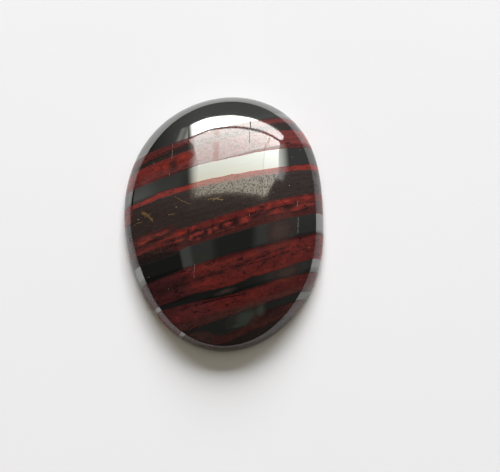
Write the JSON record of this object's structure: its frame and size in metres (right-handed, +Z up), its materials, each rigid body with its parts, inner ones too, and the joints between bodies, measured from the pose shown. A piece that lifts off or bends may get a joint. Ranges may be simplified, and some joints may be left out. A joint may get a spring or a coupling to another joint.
{
  "type": "banded ironstone",
  "caption": "Polished oval stone of banded ironstone with a domed top, a steep side wall and a flat back to rest on.",
  "frame": {"origin": "bottom centre of the bounding box, on the plane of the flat back", "axes": "+Y along the stone's long axis towards its rounder dark end, +Z up through the dome"},
  "size_m": [0.0252, 0.0322, 0.006],
  "materials": {
    "stone": "polished"
  },
  "bodies": {
    "root": {"stone": "stone"}
  },
  "joints": []
}
